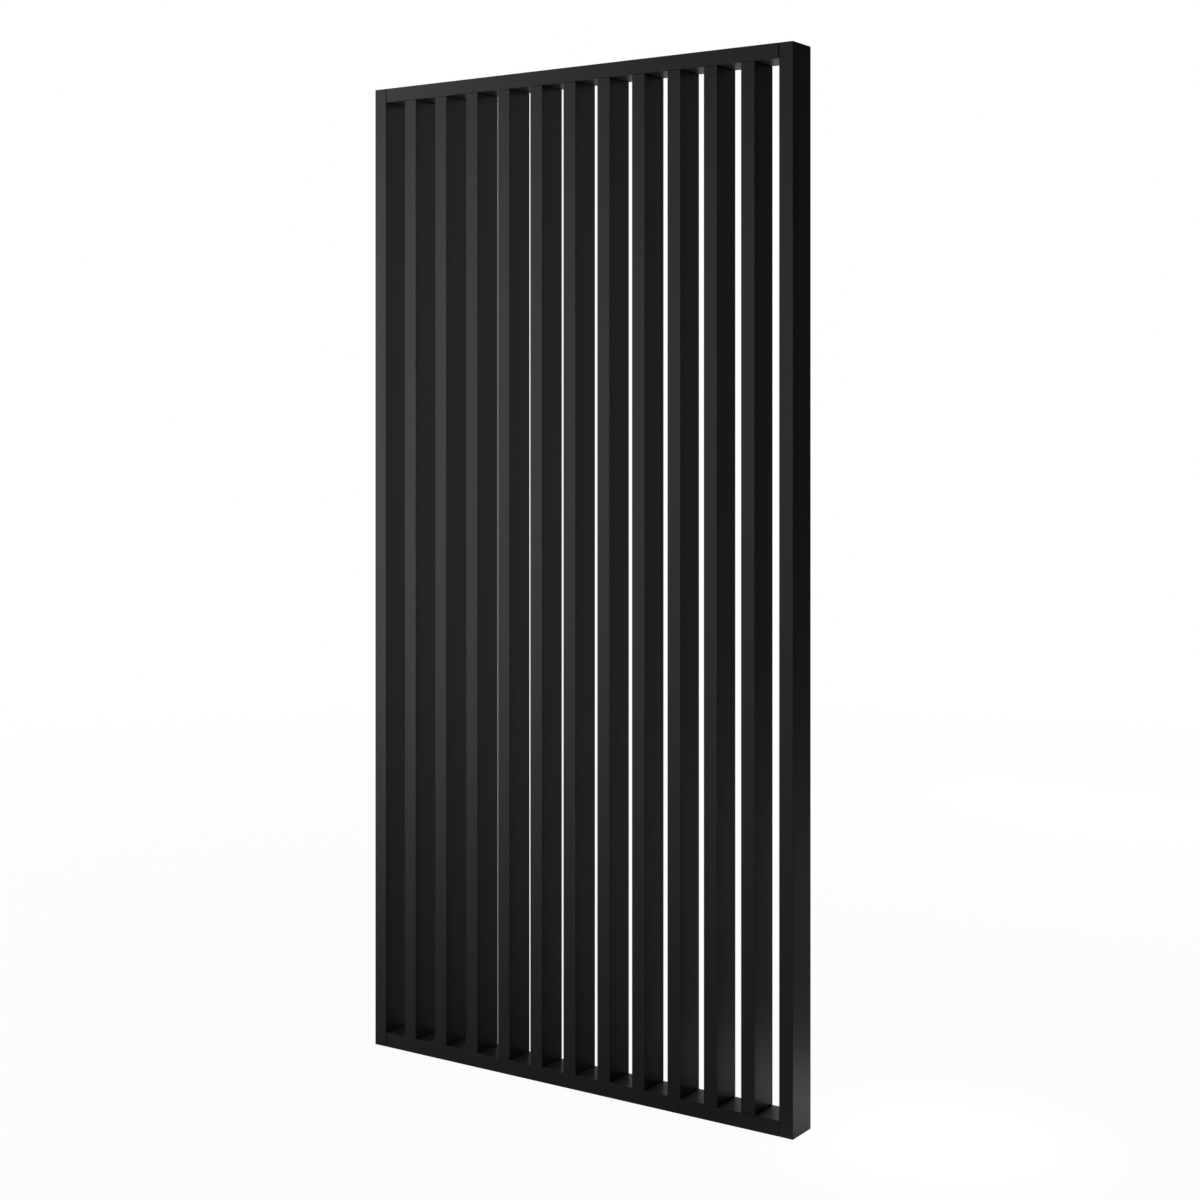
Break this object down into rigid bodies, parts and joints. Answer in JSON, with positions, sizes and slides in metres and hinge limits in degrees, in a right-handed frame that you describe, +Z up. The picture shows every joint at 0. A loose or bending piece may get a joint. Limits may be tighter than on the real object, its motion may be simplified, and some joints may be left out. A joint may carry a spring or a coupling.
{
  "type": "slatted room divider",
  "caption": "Tall black room divider: two stiles and two rails frame a row of upright slats at an even pitch, all flush front and back, with fine bevelled edges.",
  "frame": {"origin": "middle of the footprint, on the floor", "axes": "+X along the panel to the right as seen from the front, the front faces -Y, +Z up"},
  "size_m": [1.236, 0.086, 2.5],
  "materials": {
    "black_board": "smooth matte black paint",
    "zinc_steel": "bright zinc plating",
    "cast_zinc": "tumbled die casting",
    "beech_dowel": "bare planed hardwood"
  },
  "bodies": {
    "root": {"left_stile": "black_board", "right_stile": "black_board", "top_rail": "black_board", "bottom_rail": "black_board", "slat_01": "black_board", "slat_02": "black_board", "slat_03": "black_board", "slat_04": "black_board", "slat_05": "black_board", "slat_06": "black_board", "slat_07": "black_board", "slat_08": "black_board", "slat_09": "black_board", "slat_10": "black_board", "slat_11": "black_board", "cam_bolts": "zinc_steel", "corner_cams": "cast_zinc", "corner_dowels": "beech_dowel"}
  },
  "joints": []
}
